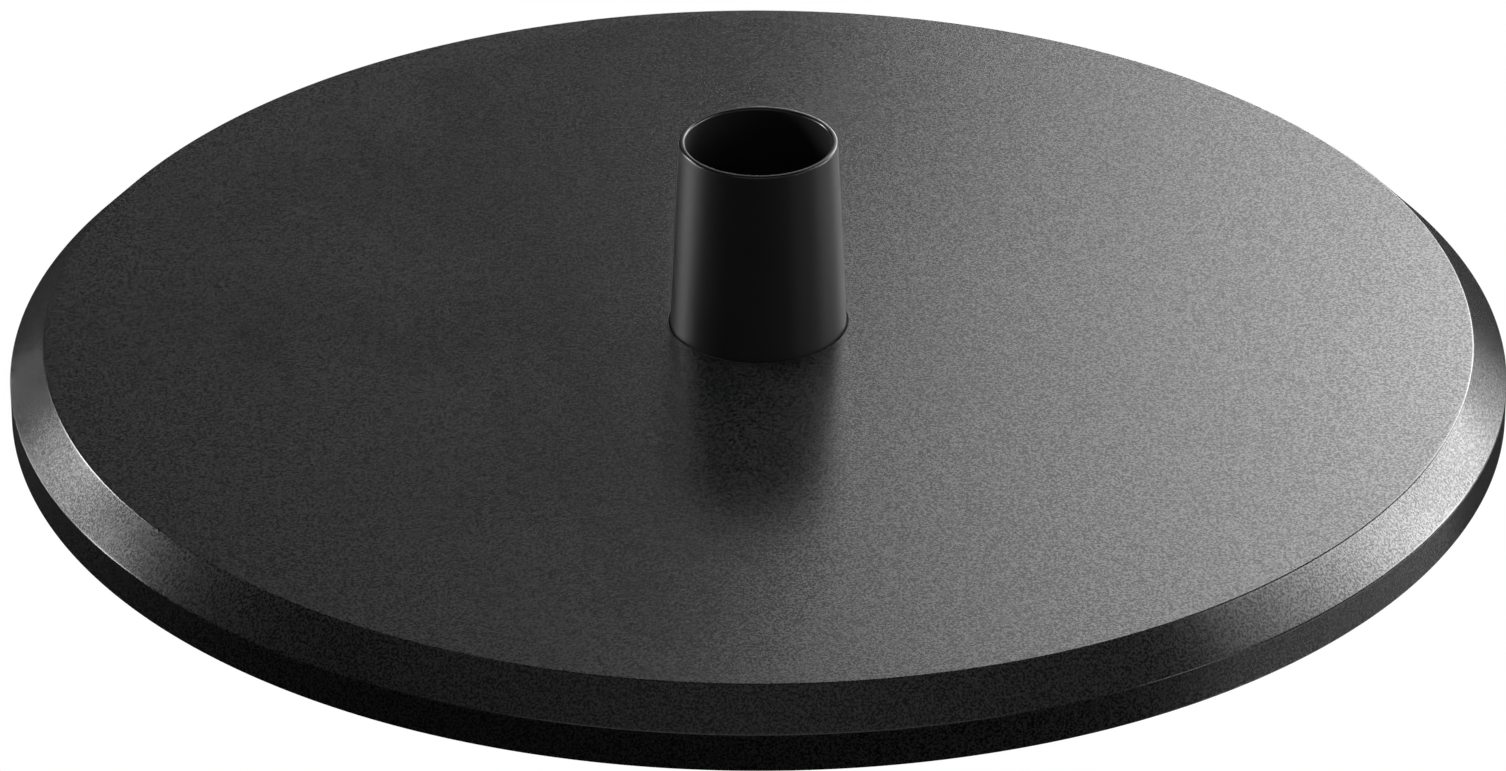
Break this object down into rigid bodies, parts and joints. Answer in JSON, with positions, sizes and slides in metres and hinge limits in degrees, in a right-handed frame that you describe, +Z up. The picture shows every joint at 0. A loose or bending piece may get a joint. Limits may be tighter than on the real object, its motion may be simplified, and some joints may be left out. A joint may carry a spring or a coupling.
{
  "type": "parasol base",
  "caption": "Flat round steel parasol base with a bevelled upper edge, rubber feet and a short tapered central socket that takes a pole and grips it with set screws.",
  "frame": {"origin": "on the ground at the centre of the base, under the feet", "axes": "+Z up along the socket and the pole, +Y to the back, where the set screws are, +X to the right seen from the front"},
  "size_m": [0.5, 0.5, 0.0935],
  "materials": {
    "plate_coat": "black powder coat, matt, fine grained texture",
    "socket_coat": "black powder coat, smooth satin",
    "rubber": "matt black moulded rubber",
    "zinc_plate": "zinc plated, dull",
    "black_steel": "black oxide steel, satin"
  },
  "bodies": {
    "base": {"base_plate": "plate_coat", "socket_tube": "socket_coat", "socket_seal": "rubber", "socket_flange": "socket_coat", "flange_weld": "socket_coat", "floor_plate": "zinc_plate", "pole_pad": "rubber", "flange_screw_1": "zinc_plate", "foot_1": "rubber", "foot_washer_1": "zinc_plate", "foot_screw_1": "zinc_plate", "flange_screw_2": "zinc_plate", "foot_2": "rubber", "foot_washer_2": "zinc_plate", "foot_screw_2": "zinc_plate", "flange_screw_3": "zinc_plate", "foot_3": "rubber", "foot_washer_3": "zinc_plate", "foot_screw_3": "zinc_plate", "flange_screw_4": "zinc_plate", "foot_4": "rubber", "foot_washer_4": "zinc_plate", "foot_screw_4": "zinc_plate", "flange_screw_5": "zinc_plate", "foot_5": "rubber", "foot_washer_5": "zinc_plate", "foot_screw_5": "zinc_plate", "flange_screw_6": "zinc_plate", "foot_6": "rubber", "foot_washer_6": "zinc_plate", "foot_screw_6": "zinc_plate"},
    "clamp_screw_left": {"clamp_screw_left": "black_steel"},
    "clamp_screw_right": {"clamp_screw_right": "black_steel"}
  },
  "joints": [
    {"name": "clamp_screw_left_feed", "type": "slide", "parent": "base", "child": "clamp_screw_left", "axis": [0.766, -0.6428, 0], "range_m": [0, 0.004]},
    {"name": "clamp_screw_right_feed", "type": "slide", "parent": "base", "child": "clamp_screw_right", "axis": [-0.766, -0.6428, 0], "range_m": [0, 0.004]}
  ]
}
